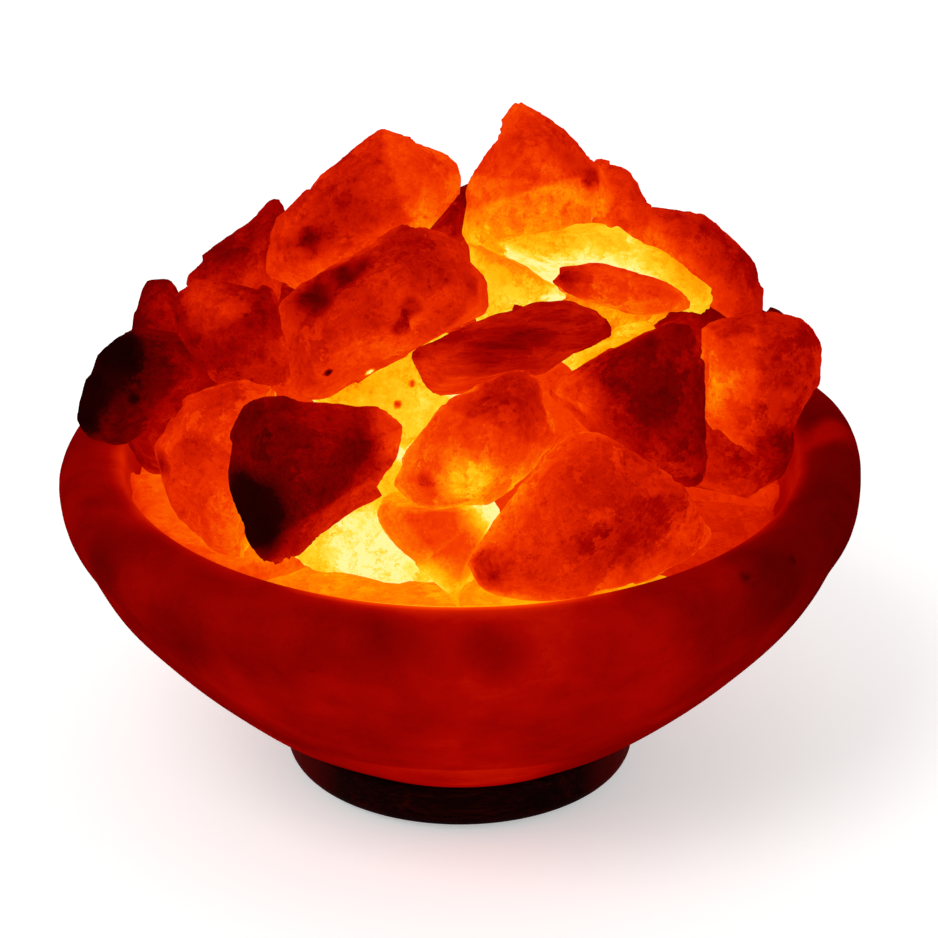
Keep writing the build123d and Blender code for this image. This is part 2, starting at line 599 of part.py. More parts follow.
def bed_stones():
    """Wedges round the bulb, from the floor of the bowl up to the heap."""
    stones = []
    for index in range(BED_COUNT):
        bearing = math.radians(BED_START_ANGLE) + 2 * math.pi * index / BED_COUNT
        out = outward(bearing)
        top = LIP_HEIGHT - BED_TOP + BED_TOP_CHANGE * math.sin(BED_TOP_STEP * index)
        slope = level(1) + BED_TOP_LEAN * math.sin(BED_TOP_STEP * index / 2) * out
        planes = [through(BULB_ROOM * out, -out), through(level(top) + MOUTH_DIAMETER / 4 * out, slope)]
        for side in (-1, 1):
            edge = bearing + side * math.pi / BED_COUNT
            across = side * outward(edge + math.pi / 2)
            planes.append(through(-STONE_GAP / 2 * across, across))
        stones.append((f"stone_bed_{index + 1}", block(planes + cavity_planes())))
    return stones


def overlap(stone, other):
    for normal, offset in map(face_plane, other):
        stone = clip(stone, normal, offset + STONE_GAP)
        if not stone:
            return 0.0
    return volume(stone)


def bedded(stone, other):
    """The stone, cut back along that face of the other which costs it least."""
    if overlap(stone, other) < LEAST_OVERLAP:
        return stone
    cuts = [clip(stone, -normal, -(offset + STONE_GAP)) for normal, offset in map(face_plane, other)]
    return max(cuts, key=lambda cut: volume(cut) if cut else 0.0)


def bulb_space():
    """Free space round and over the bulb."""
    planes = [(level(1), BULB_TOP + BULB_HEADROOM), (level(-1), WALL_GAP - CAVITY_FLOOR)]
    for index in range(BULB_SPACE_SIDES):
        bearing = math.radians(BED_START_ANGLE) + 2 * math.pi * index / BULB_SPACE_SIDES
        planes.append((outward(bearing), BULB_ROOM - STONE_GAP))
    return block(planes)


def ring_stones(rings):
    stones = []
    for name, ring_radius, height, half_sizes, count, first, last in rings:
        for index in range(count):
            bearing = math.radians(first + (last - first) * index / (count - 1))
            stone = ring_stone(ring_radius, height, half_sizes, bearing, RING_TWIST * index)
            stones.append((f"{name}_{index + 1}", stone))
    return stones


def heap():
    stones = [(name, sight_stone(*shape)) for name, *shape in SIGHT_STONES]
    stones += ring_stones(RING_STONES) + bed_stones() + ring_stones(CORE_STONES)
    done = [("bulb_space", bulb_space())]
    for name, stone in stones:
        room = over_rim_planes() if name in RIM_STONES else cavity_planes()
        for normal, offset in room:
            stone = clip(stone, normal, offset)
        for other_name, other in done:
            stone = bedded(stone, other)
        done.append((name, stone))
    return done[1:]


def stone_solid(stone):
    faces = [Face(Wire.make_polygon([tuple(point) for point in face], close=True)) for face in stone]
    return Solid(Shell(faces))


pieces = {
    "wood_base": wood_base(),
    "rubber_feet": rubber_feet(),
    "base_screws": base_screws(),
    "salt_bowl": salt_bowl(),
    "lamp_holder": lamp_holder(),
    "socket_thread_shell": socket_thread_shell(),
    "socket_centre_contact": socket_centre_contact(),
    "cord_gland": cord_gland(),
    "clip_collar": clip_collar(),
    "holder_clips": holder_clips(),
    "bulb_tip": bulb_tip(),
    "bulb_cap": bulb_cap(),
    "bulb_glass": bulb_glass(),
    "bulb_stem": bulb_stem(),
    "bulb_filament": bulb_filament(),
}
for name, stone in heap():
    pieces[name] = stone_solid(stone)

os.makedirs("parts", exist_ok=True)
for name, piece in pieces.items():
    piece.label = name
    export_step(piece, f"parts/{name}.step")
    print(name, round(piece.volume), "mm3", len(piece.solids()), "solid(s)")
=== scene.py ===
import json
import math
import random

import bmesh
import bpy
import numpy as np
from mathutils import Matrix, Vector, noise
from mathutils.bvhtree import BVHTree


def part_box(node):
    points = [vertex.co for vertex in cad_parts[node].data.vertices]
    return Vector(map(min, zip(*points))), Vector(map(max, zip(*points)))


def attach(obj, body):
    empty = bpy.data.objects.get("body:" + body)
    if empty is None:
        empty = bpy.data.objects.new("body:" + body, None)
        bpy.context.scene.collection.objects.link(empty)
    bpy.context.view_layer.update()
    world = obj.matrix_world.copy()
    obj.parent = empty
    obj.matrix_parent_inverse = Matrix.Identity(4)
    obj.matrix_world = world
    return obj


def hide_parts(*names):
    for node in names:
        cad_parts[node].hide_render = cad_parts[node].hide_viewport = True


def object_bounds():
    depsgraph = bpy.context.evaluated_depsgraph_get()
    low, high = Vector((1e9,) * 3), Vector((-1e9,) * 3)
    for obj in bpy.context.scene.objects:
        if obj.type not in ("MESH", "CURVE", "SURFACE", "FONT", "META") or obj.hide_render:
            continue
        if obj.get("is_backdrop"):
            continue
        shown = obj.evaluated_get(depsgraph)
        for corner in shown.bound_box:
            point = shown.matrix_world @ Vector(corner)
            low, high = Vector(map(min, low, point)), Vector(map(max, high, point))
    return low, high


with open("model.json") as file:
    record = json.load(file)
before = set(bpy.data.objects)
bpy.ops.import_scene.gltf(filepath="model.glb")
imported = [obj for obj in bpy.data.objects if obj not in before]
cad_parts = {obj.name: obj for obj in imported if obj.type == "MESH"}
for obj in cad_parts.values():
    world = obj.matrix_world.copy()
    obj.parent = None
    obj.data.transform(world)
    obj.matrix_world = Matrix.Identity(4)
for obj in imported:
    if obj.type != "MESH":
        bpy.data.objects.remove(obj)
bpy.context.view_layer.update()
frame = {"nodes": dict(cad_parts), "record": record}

nodes = frame["nodes"]

# ---------------------------------------------------------------------------- the eye and the studio
# The eye stands in front of the lamp and looks down on the mouth of the bowl at 25 degrees, from 1.2 m.
# The room is plain and white: an even sky, one large soft lamp and a pale floor that keeps a soft shadow.
LIP_HEIGHT = 0.0965              # of the bowl over the floor
MOUTH = Vector((0.0, 0.0, LIP_HEIGHT))
EYE_TILT = math.radians(25)
EYE_DISTANCE = 1.2
VIEW_PIXELS = 938
PIXEL = 0.0002825                # metres in the plane of the mouth that one pixel of the view covers
MOUTH_PIXEL = (460, 450)         # where the middle of the mouth shows in the view
SENSOR = 36.0
SKY_STRENGTH = 0.62
LAMP_PLACE = Vector((-0.9, -1.3, 1.9))
LAMP_SIZE = 1.1
LAMP_POWER = 19.0
FLOOR_SIZE = 12.0
FLOOR_COLOUR = "#f4f3f1"
FLOOR_LIFT = 0.42                # added where the floor is seen, so that it comes out white

eye_way = Vector((0, -math.cos(EYE_TILT), math.sin(EYE_TILT)))
eye = MOUTH + EYE_DISTANCE * eye_way
camera_data = bpy.data.cameras.new("eye")
camera_data.sensor_width = SENSOR
camera_data.lens = SENSOR * EYE_DISTANCE / (VIEW_PIXELS * PIXEL)
camera_data.shift_x = (VIEW_PIXELS / 2 - MOUTH_PIXEL[0]) / VIEW_PIXELS
camera_data.shift_y = (MOUTH_PIXEL[1] - VIEW_PIXELS / 2) / VIEW_PIXELS
camera_data.dof.use_dof = False
camera = bpy.data.objects.new("eye", camera_data)
camera.location = eye
camera.rotation_euler = (math.pi / 2 - EYE_TILT, 0, 0)
bpy.context.scene.collection.objects.link(camera)
bpy.context.scene.camera = camera
bpy.context.scene.view_settings.view_transform = "Standard"


def linear(hex_colour):
    """Linear colour from a written sRGB one."""
    parts = [int(hex_colour[place:place + 2], 16) / 255 for place in (1, 3, 5)]
    return tuple(p / 12.92 if p <= 0.04045 else ((p + 0.055) / 1.055) ** 2.4 for p in parts) + (1.0,)


def add_node(tree, kind, inputs, **settings):
    """Adds a node, sets it, and gives each named input a value or a link."""
    made = tree.nodes.new("ShaderNode" + kind)
    for name, value in settings.items():
        setattr(made, name, value)
    for socket, value in inputs.items():
        if isinstance(value, bpy.types.NodeSocket):
            tree.links.new(value, made.inputs[socket])
        else:
            made.inputs[socket].default_value = value
    return made


def seen_rays(tree):
    """1 for rays that show the background: to the camera, or by way of metal or glass."""
    rays = add_node(tree, "LightPath", {})
    seen = rays.outputs["Is Camera Ray"]
    for kind in ("Is Transmission Ray", "Is Glossy Ray"):
        seen = add_node(tree, "Math", {0: seen, 1: rays.outputs[kind]}, operation="MAXIMUM").outputs[0]
    return seen


sky = bpy.data.worlds.new("studio sky")
sky.use_nodes = True
sky.node_tree.nodes.clear()
strength = add_node(sky.node_tree, "Math", {0: seen_rays(sky.node_tree), 1: 1 - SKY_STRENGTH,
                                            2: SKY_STRENGTH}, operation="MULTIPLY_ADD")
light = add_node(sky.node_tree, "Background", {"Color": (1, 1, 1, 1), "Strength": strength.outputs[0]})
add_node(sky.node_tree, "OutputWorld", {"Surface": light.outputs[0]})
bpy.context.scene.world = sky

lamp_data = bpy.data.lights.new("soft lamp", "AREA")
lamp_data.size = LAMP_SIZE
lamp_data.energy = LAMP_POWER
lamp = bpy.data.objects.new("soft lamp", lamp_data)
lamp.location = LAMP_PLACE
lamp.rotation_euler = (MOUTH - LAMP_PLACE).to_track_quat("-Z", "Y").to_euler()
bpy.context.scene.collection.objects.link(lamp)


def new_object(name, shape):
    """Object at the origin, with its place in its mesh, from an edit mesh that it uses up."""
    mesh = bpy.data.meshes.new(name)
    shape.to_mesh(mesh)
    shape.free()
    made = bpy.data.objects.new(name, mesh)
    bpy.context.scene.collection.objects.link(made)
    return made


def new_material(name, **sockets):
    """Material with one Principled shader, and values set on the shader's own sockets."""
    material = bpy.data.materials.new(name)
    material.use_nodes = True
    shader = material.node_tree.nodes["Principled BSDF"]
    for socket, value in sockets.items():
        shader.inputs[socket.replace("_", " ")].default_value = value
    return material, material.node_tree, shader


floor_mesh = bmesh.new()
bmesh.ops.create_grid(floor_mesh, x_segments=1, y_segments=1, size=FLOOR_SIZE / 2)
floor = new_object("floor", floor_mesh)
painted, tree, shader = new_material("matt painted floor", Roughness=0.9)
place = add_node(tree, "TexCoord", {})
grain = add_node(tree, "TexNoise", {"Vector": place.outputs["Object"], "Scale": 900.0})
tone = add_node(tree, "MapRange", {"Value": grain.outputs["Fac"], "To Min": 0.97, "To Max": 1.0})
paint = add_node(tree, "Mix", {"Factor": tone.outputs[0], "A": (0, 0, 0, 1), "B": linear(FLOOR_COLOUR)},
                 data_type="RGBA")
tree.links.new(paint.outputs["Result"], shader.inputs["Base Color"])
lift = add_node(tree, "Math", {0: seen_rays(tree), 1: FLOOR_LIFT}, operation="MULTIPLY")
tree.links.new(lift.outputs[0], shader.inputs["Emission Strength"])
shader.inputs["Emission Color"].default_value = (1, 1, 1, 1)
floor.data.materials.append(painted)
floor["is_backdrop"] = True


def colour_ramp(tree, factor, stops):
    """Colour by a factor, from (place, sRGB colour) stops."""
    ramp = add_node(tree, "ValToRGB", {0: factor})
    elements = ramp.color_ramp.elements
    while len(elements) < len(stops):
        elements.new(0.5)
    for element, (place, colour) in zip(elements, stops):
        element.position = place
        element.color = linear(colour)
    return ramp.outputs["Color"]


def finish_with(node_names, material):
    """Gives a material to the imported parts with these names, which keep their shape."""
    for name in node_names:
        nodes[name].data.materials.clear()
        nodes[name].data.materials.append(material)


# ---------------------------------------------------------------------------- wooden base
# A turned puck of hardwood, stained near black and rubbed with wax. The grain runs straight across it. Its
# two
# sides are painted redder than its middle: painted red light from the bowl, put into the wood's colour.
GRAIN_STRETCH = (14.0, 150.0, 150.0)
WOOD_DARK, WOOD_MIDDLE, WOOD_LIGHT = "#080000", "#180101", "#320402"
PAINTED_BOWL_LIGHT = "#5c0000"
LIT_FROM, LIT_TO = 0.034, 0.050     # distance from the middle of the base at which the sides redden

stained, tree, shader = new_material("stained and waxed hardwood", Roughness=0.7, Specular_IOR_Level=0.01)
place = add_node(tree, "TexCoord", {})
run = add_node(tree, "Mapping", {"Vector": place.outputs["Object"], "Scale": GRAIN_STRETCH})
grain = add_node(tree, "TexNoise", {"Vector": run.outputs[0], "Scale": 1.6, "Detail": 8.0, "Roughness": 0.65,
                                    "Distortion": 0.6})
pores = add_node(tree, "TexNoise", {"Vector": run.outputs[0], "Scale": 9.0, "Detail": 4.0})
figure = add_node(tree, "Math", {0: grain.outputs["Fac"], 1: pores.outputs["Fac"]}, operation="MULTIPLY")
figure = add_node(tree, "Math", {0: figure.outputs[0], 1: 2.0}, operation="MULTIPLY")
wood_colour = colour_ramp(tree, figure.outputs[0], [(0.2, WOOD_DARK), (0.5, WOOD_MIDDLE), (0.85, WOOD_LIGHT)])
# Painted red light: the wood's colour is made redder towards its two sides.
across = add_node(tree, "SeparateXYZ", {"Vector": place.outputs["Object"]})
across = add_node(tree, "Math", {0: across.outputs["X"]}, operation="ABSOLUTE")
painted_light_share = add_node(tree, "MapRange", {"Value": across.outputs[0], "From Min": LIT_FROM, "From Max": LIT_TO})
wood_with_painted_light = add_node(tree, "Mix", {"Factor": painted_light_share.outputs[0], "A": wood_colour, "B": linear(PAINTED_BOWL_LIGHT)},
                    data_type="RGBA", blend_type="ADD")
tree.links.new(wood_with_painted_light.outputs["Result"], shader.inputs["Base Color"])
relief = add_node(tree, "Bump", {"Height": figure.outputs[0], "Strength": 0.35, "Distance": 0.0004})
tree.links.new(relief.outputs[0], shader.inputs["Normal"])
finish_with(["wood_base"], stained)

# ---------------------------------------------------------------------------- feet and screws
# Four moulded rubber pads let into the base, and three zinc-plated countersunk screws from the base up
# into the bowl. Both are only seen from below.


def fine_finish(name, scale, colours, detail=2.0, dull=None, relief=None, lit=False, **sockets):
    """Material whose colour, roughness and relief follow one fine noise with so many grains to the metre.
    Dull is the least and the most roughness, and relief a bump's strength and height. If lit, the colours
    are those that it glows in."""
    material, tree, shader = new_material(name, **sockets)
    place = add_node(tree, "TexCoord", {})
    grain = add_node(tree, "TexNoise", {"Vector": place.outputs["Object"], "Scale": scale, "Detail": detail})
    tree.links.new(colour_ramp(tree, grain.outputs["Fac"], colours),
                   shader.inputs["Emission Color" if lit else "Base Color"])
    if dull:
        rough = add_node(tree, "MapRange", {"Value": grain.outputs["Fac"], "To Min": dull[0],
                                            "To Max": dull[1]})
        tree.links.new(rough.outputs[0], shader.inputs["Roughness"])
    if relief:
        bump = add_node(tree, "Bump", {"Height": grain.outputs["Fac"], "Strength": relief[0],
                                       "Distance": relief[1]})
        tree.links.new(bump.outputs[0], shader.inputs["Normal"])
    return material


rubber = fine_finish("moulded rubber", 1800.0, [(0.3, "#101010"), (0.7, "#1b1a19")], detail=3.0,
                     relief=(0.3, 0.0002), Roughness=0.75, Specular_IOR_Level=0.3)
finish_with(["rubber_feet", "cord_gland"], rubber)
steel = fine_finish("zinc-plated steel", 600.0, [(0.3, "#9a9a96"), (0.7, "#c6c6c0")], detail=6.0,
                    dull=(0.28, 0.5), Metallic=1.0)
finish_with(["base_screws", "clip_collar", "holder_clips"], steel)

# ---------------------------------------------------------------------------- lamp holder
# A moulded black plastic barrel with a pressed brass thread shell and contact inside. A steel collar round it
# carries two spring clips that grip the bore of base and bowl.
plastic = fine_finish("moulded black plastic", 1200.0, [(0.3, "#0c0c0d"), (0.7, "#161617")],
                      relief=(0.15, 0.0001), Roughness=0.4)
finish_with(["lamp_holder", "bulb_tip"], plastic)
brass = fine_finish("pressed brass", 350.0, [(0.3, "#a8843e"), (0.7, "#dcc07a")], detail=5.0,
                    dull=(0.2, 0.42), Metallic=1.0)
finish_with(["socket_thread_shell", "socket_centre_contact", "bulb_cap"], brass)

# ---------------------------------------------------------------------------- bulb
# A small candle bulb: clear blown glass on a brass screw cap, with a glass stem and a glowing wire. The bulb
# is lit, so its glass is full of light.
glass = fine_finish("clear blown glass", 120.0, [(0.3, "#ffb43c"), (0.7, "#ffe08a")], detail=3.0,
                    dull=(0.02, 0.08), lit=True, Transmission_Weight=1.0, IOR=1.5, Emission_Strength=0.7)
finish_with(["bulb_glass", "bulb_stem"], glass)
hot_wire = fine_finish("glowing tungsten wire", 2000.0, [(0.2, "#ffc25a"), (0.8, "#fff2c8")], lit=True,
                       Metallic=1.0, Roughness=0.5, Emission_Strength=1.0)
finish_with(["bulb_filament"], hot_wire)

# ---------------------------------------------------------------------------- salt bowl
# Turned and rubbed smooth by hand from one block of red rock salt. Light from inside comes through the wall
# as a dull red, and its inner edge, next to the bulb, glows orange. Stains of clay lie in the salt.
SALT_GLOW = [(0.0, "#030000"), (0.1, "#240000"), (0.2, "#560000"), (0.3, "#770000"), (0.4, "#a20300"),
             (0.5, "#c81800"), (0.58, "#e22a00"), (0.66, "#f13e00"), (0.74, "#f76200"), (0.82, "#fa8b00"),
             (0.88, "#fbb104"), (0.94, "#fcd324"), (0.98, "#fdef6a"), (1.0, "#fff79c")]
# Base colour of the salt, read by the glow: painted light, lighter where more light comes through.
SALT_BODY_PAINTED_BY_GLOW = [(0.0, "#0a0101"), (0.35, "#240201"), (0.6, "#3a0602"), (1.0, "#5a2408")]
# How many of each there are to a metre.
PATCHES = 42.0                   # about 24 mm each
SPOTS = 240.0                    # about 4 mm
FLATS = 140.0                    # small flat breaks of about 7 mm
CRACKS = 95.0                    # about 10 mm apart
CRYSTALS = 330.0                 # about 3 mm
GRAINS = 700.0                   # about 1.5 mm
WANDER = 0.02                    # how far, at most, the spots push flats and cracks out of line
DRIFT = (0.27, 0.43)             # grains times spots where the dark grains start, and are all there
CRACK_WIDTH = 0.07               # of the distance between two cracks
CRACKED = (0.42, 0.6)            # patches where cracks start, and are all there
STAINED = (1.42, 2.55)           # stain and noise where clay starts to darken the salt, and has darkened it
STAIN_KEEPS = 0.2                # share of the glow that comes through the thickest clay
CRYSTAL_LIGHT = (-0.08, 0.32)    # glow between the crystals' bright lines, and on them
SALT_ROUGHNESS = (0.55, 0.85)
SALT_RELIEF = 0.0008


def rock_salt(name, cloud, mottle, fleck, relief_strength, crack=0.0, stretch=(1, 1, 1), turn=(0, 0, 0)):
    """Salt that glows by its 'glow' attribute, is darkened by 'stain' and gets painted glints on crystals by
    'sparkle'.
    Cloud, mottle, fleck and crack say how strongly patches, spots and flats, dark grains and thin dark lines
    change the glow. Stretch and turn lay the pattern in bands."""
    material, tree, shader = new_material(name, Emission_Strength=1.0, Specular_IOR_Level=0.0)
    place = add_node(tree, "TexCoord", {})
    run = add_node(tree, "Mapping", {"Vector": place.outputs["Object"], "Scale": stretch, "Rotation": turn})
    glow = add_node(tree, "Attribute", {}, attribute_name="glow").outputs["Fac"]
    stain = add_node(tree, "Attribute", {}, attribute_name="stain").outputs["Fac"]
    sparkle = add_node(tree, "Attribute", {}, attribute_name="sparkle").outputs["Fac"]
    patches = add_node(tree, "TexNoise", {"Vector": run.outputs[0], "Scale": PATCHES, "Detail": 3.0})
    spots = add_node(tree, "TexNoise", {"Vector": run.outputs[0], "Scale": SPOTS, "Detail": 8.0,
                                        "Roughness": 0.72})
    grains = add_node(tree, "TexNoise", {"Vector": run.outputs[0], "Scale": GRAINS, "Detail": 5.0,
                                         "Roughness": 0.8})
    # Each flat is a little lighter or darker than the next.
    wander = add_node(tree, "Mix", {"Factor": WANDER, "A": run.outputs[0], "B": spots.outputs["Color"]},
                      data_type="RGBA")
    flats = add_node(tree, "TexVoronoi", {"Vector": wander.outputs["Result"], "Scale": FLATS})
    for source, amount in ((patches.outputs["Fac"], 2 * cloud), (spots.outputs["Fac"], 2 * mottle),
                           (flats.outputs["Color"], 0.6 * mottle)):
        centred = add_node(tree, "Math", {0: source, 1: 0.5}, operation="SUBTRACT")
        glow = add_node(tree, "Math", {0: centred.outputs[0], 1: amount, 2: glow},
                        operation="MULTIPLY_ADD").outputs[0]
    # Dark grains gather in drifts among the spots.
    drift = add_node(tree, "Math", {0: grains.outputs["Fac"], 1: spots.outputs["Fac"]}, operation="MULTIPLY")
    grain_mask = add_node(tree, "MapRange", {"Value": drift.outputs[0], "From Min": DRIFT[0],
                                             "From Max": DRIFT[1], "To Min": 0.0, "To Max": -fleck})
    glow = add_node(tree, "Math", {0: grain_mask.outputs[0], 1: glow}, operation="ADD").outputs[0]
    # Cracks wander, and fade out and come back.
    cells = add_node(tree, "TexVoronoi", {"Vector": wander.outputs["Result"], "Scale": CRACKS},
                     feature="DISTANCE_TO_EDGE")
    line = add_node(tree, "MapRange", {"Value": cells.outputs["Distance"], "From Min": 0.0,
                                       "From Max": CRACK_WIDTH, "To Min": 1.0, "To Max": 0.0})
    where = add_node(tree, "MapRange", {"Value": patches.outputs["Fac"], "From Min": CRACKED[0],
                                        "From Max": CRACKED[1], "To Min": 0.0, "To Max": -crack})
    glow = add_node(tree, "Math", {0: line.outputs[0], 1: where.outputs[0], 2: glow},
                    operation="MULTIPLY_ADD").outputs[0]
    # A stain's edge is broken up by the patches and the spots.
    ragged = add_node(tree, "Math", {0: spots.outputs["Fac"], 1: stain}, operation="ADD")
    ragged = add_node(tree, "Math", {0: patches.outputs["Fac"], 1: 1.4, 2: ragged.outputs[0]},
                      operation="MULTIPLY_ADD")
    stain_mask = add_node(tree, "MapRange", {"Value": ragged.outputs[0], "From Min": STAINED[0],
                                             "From Max": STAINED[1]}, interpolation_type="SMOOTHSTEP")
    kept = add_node(tree, "MapRange", {"Value": stain_mask.outputs[0], "To Min": 1.0, "To Max": STAIN_KEEPS})
    glow = add_node(tree, "Math", {0: glow, 1: kept.outputs[0]}, operation="MULTIPLY").outputs[0]
    # Clear crystals get painted glints: bright lines where they meet.
    crystals = add_node(tree, "TexNoise", {"Vector": run.outputs[0], "Scale": CRYSTALS, "Detail": 3.0,
                                           "Distortion": 1.2}, noise_type="RIDGED_MULTIFRACTAL")
    lines = add_node(tree, "MapRange", {"Value": crystals.outputs["Fac"], "From Min": 0.5, "From Max": 1.3,
                                        "To Min": CRYSTAL_LIGHT[0], "To Max": CRYSTAL_LIGHT[1]})
    glow = add_node(tree, "Math", {0: lines.outputs[0], 1: sparkle, 2: glow},
                    operation="MULTIPLY_ADD").outputs[0]
    tree.links.new(colour_ramp(tree, glow, SALT_GLOW), shader.inputs["Emission Color"])
    # The base colour follows the glow too: painted light in the salt's own colour.
    tree.links.new(colour_ramp(tree, glow, SALT_BODY_PAINTED_BY_GLOW), shader.inputs["Base Color"])
    rough = add_node(tree, "MapRange", {"Value": spots.outputs["Fac"], "To Min": SALT_ROUGHNESS[0],
                                        "To Max": SALT_ROUGHNESS[1]})
    tree.links.new(rough.outputs[0], shader.inputs["Roughness"])
    height = add_node(tree, "Math", {0: grains.outputs["Fac"], 1: 0.4, 2: spots.outputs["Fac"]},
                      operation="MULTIPLY_ADD")
    relief = add_node(tree, "Bump", {"Height": height.outputs[0], "Strength": relief_strength,
                                     "Distance": SALT_RELIEF})
    tree.links.new(relief.outputs[0], shader.inputs["Normal"])
    return material


def rows_of(items, field):
    """One row of three numbers for each of a mesh's points or normals."""
    rows = np.zeros(len(items) * 3, np.float32)
    items.foreach_get(field, rows)
    return rows.reshape(-1, 3).astype(float)


def smooth_step(start, end, values):
    """0 up to the start and 1 past the end, soft at both."""
    share = np.clip((values - start) / (end - start), 0, 1)
    return share * share * (3 - 2 * share)


view_up = np.array([0, math.sin(EYE_TILT), math.cos(EYE_TILT)])


def seen_point(surface, pixel):
    """Point of a surface that the eye meets at a pixel of the view."""
    right = (pixel[0] - MOUTH_PIXEL[0]) * PIXEL
    up = (MOUTH_PIXEL[1] - pixel[1]) * PIXEL
    aim = MOUTH + right * Vector((1, 0, 0)) + up * Vector(view_up)
    found = surface.ray_cast(eye, (aim - eye).normalized())[0]
    return np.array(found or surface.find_nearest(aim)[0])


def below_line(points, line, width):
    """Share of each point below a line across the view, drawn left to right in pixels. The share changes
    over a width in millimetres."""
    way = points - np.array(eye)
    depth = -(way @ np.array(eye_way)) / EYE_DISTANCE
    right = MOUTH_PIXEL[0] + way[:, 0] / depth / PIXEL
    down = MOUTH_PIXEL[1] - (way @ view_up) / depth / PIXEL
    x, y, end_x, end_y = line
    below = ((end_x - x) * (down - y) - (end_y - y) * (right - x)) / math.hypot(end_x - x, end_y - y)
    return smooth_step(-0.5, 0.5, below * PIXEL * 1000 / width)


MARK_EDGE = (0.35, 1.35)         # of a mark's radius, where it starts to fade, and has faded out


def add_marks(mesh, glow, marks):
    """Gives a piece of salt its glow, with light places, clay stains and painted glints on crystals. A mark
    is its kind, the
    pixel where the eye meets it, its radius in millimetres and its strength. A facet is a break in the salt:
    a line across the view, how wide the change is, and how much more glows below it."""
    points = rows_of(mesh.vertices, "co")
    surface = BVHTree.FromPolygons([Vector(p) for p in points], [p.vertices[:] for p in mesh.polygons])
    layers = {"glow": glow, "stain": np.zeros(len(points)), "sparkle": np.zeros(len(points))}
    for kind, place, size, amount in marks:
        if kind == "facet":
            glow += amount * below_line(points, place, size)
            continue
        away = np.linalg.norm(points - seen_point(surface, place), axis=1) / (size * 0.001)
        layers["glow" if kind == "light" else kind] += amount * (1 - smooth_step(*MARK_EDGE, away))
    for name, values in layers.items():
        attribute = mesh.attributes.new(name, "FLOAT", "POINT")
        attribute.data.foreach_set("value", values.astype(np.float32))


# Section of the bowl in millimetres, (radius, height): from the foot up the outside, over the lip and down
# the inside to the bore in the floor.
BOWL_FOOT = [(20, 14.5), (34, 14.5), (48, 14.5)]
BOWL_OUTSIDE = [(48, 14.5), (63.8, 24.8), (77.7, 36.6), (90.2, 48.9), (102.1, 62.9), (109.7, 76.8),
                (113.2, 83), (114, 88.5), (113.4, 91.6), (111.7, 94.2), (109.1, 95.9), (106, 96.5)]
BOWL_LIP = [(106, 96.5), (102, 96.5), (97.5, 96.5)]
BOWL_INSIDE = [(97.5, 96.5), (95.7, 95.8), (95, 94), (93.6, 86.3), (88.4, 71.3), (76, 55.7), (57, 43.7),
               (34.2, 36.5)]
BOWL_FLOOR = [(34.2, 36.5), (27, 36.5), (20, 36.5)]
BOWL_BORE = [(20, 36.5), (20, 30), (20, 22), (20, 14.5)]
SECTION_STEP = 2.0               # millimetres between points of the section
BOWL_STEPS = 340                 # round the bowl
BOWL_BOTTOM = 0.0145
FLOOR_TOP = 0.0366               # just over the bowl's floor
# Inner wall of the bowl and its rounded edge, (height, radius) in metres.
INNER_WALL = [(0.0365, 0.034), (0.0437, 0.057), (0.0557, 0.076), (0.0713, 0.0884), (0.0863, 0.0936)]
INNER_EDGE = [(0.094, 0.095), (LIP_HEIGHT, 0.0965)]
WALL_SPLIT = ([14.5, 48.9, 96.5], [34, 82, 98])      # heights and radii in the wall, where its outside begins
CARVED_WAVE = 0.0009             # how far the hand-rubbed outside leaves a true circle
CARVED_WAVES = 20.0              # of them to a metre
WAVE_OCTAVES = (1.0, 2.0, 2)
WAVE_SINK = 0.3                  # how much of a wave's height lies inside the circle
WAVE_THROUGH, WAVE_UP = 0.008, 0.01      # how far past the split, and over the foot, the wave is all there
HIGH_SIDE = 0.0045               # how much the lip was left higher on the right
# Where it begins to be higher, and how much further on it is all there: to the right, up and out.
HIGH_RIGHT, HIGH_UP, HIGH_OUT = (0.6, 0.4), (0.07, 0.0265), (0.098, 0.007)
# Glow of the outside by how far it faces right. It's a little lighter up the wall, darker at the foot, and
# even at the back.
BOWL_LEVEL = [(-1.0, 0.29), (-0.8, 0.295), (-0.4, 0.325), (0.0, 0.38), (0.35, 0.35), (0.7, 0.28), (0.9, 0.20),
              (1.0, 0.20)]
WALL_LIGHTER, FOOT_DARKER, BACK_LEVEL = 0.02, 0.04, 0.33
# Glow of the inside, and what is added to it in front, on the left and on the right.
INSIDE_LEVEL, INSIDE_FRONT, INSIDE_LEFT, INSIDE_RIGHT = 0.34, 0.60, 0.16, 0.08
# Shares of the inside's glow that reach into the wall, and how deep each has fallen to about a third.
WALL_LIGHT = [(0.8, 0.0014), (0.2, 0.006)]
FOOT_LIGHT = 0.1                 # share of it in the bore and under the foot
BOWL_MARKS = [
    ("light", (775, 590), 14, -0.07), ("stain", (775, 588), 11, 0.3), ("stain", (792, 560), 2.2, 0.7),
    ("stain", (836, 551), 2.5, 0.7), ("stain", (745, 577), 1.8, 0.5), ("light", (345, 640), 16, -0.05),
    ("light", (395, 632), 12, -0.04), ("stain", (495, 650), 6, 0.3), ("light", (495, 650), 10, -0.06),
    ("light", (100, 570), 8, -0.05), ("light", (180, 640), 14, -0.03), ("light", (600, 650), 9, -0.03),
    ("stain", (310, 670), 1.6, 0.5), ("stain", (465, 697), 1.6, 0.5), ("light", (460, 700), 10, 0.02),
    ("sparkle", (118, 450), 9, 1.2), ("light", (118, 450), 8, 0.12), ("sparkle", (140, 478), 8, 0.9),
    ("light", (230, 690), 14, 0.03), ("light", (830, 430), 9, 0.15), ("light", (640, 700), 14, 0.03),
]


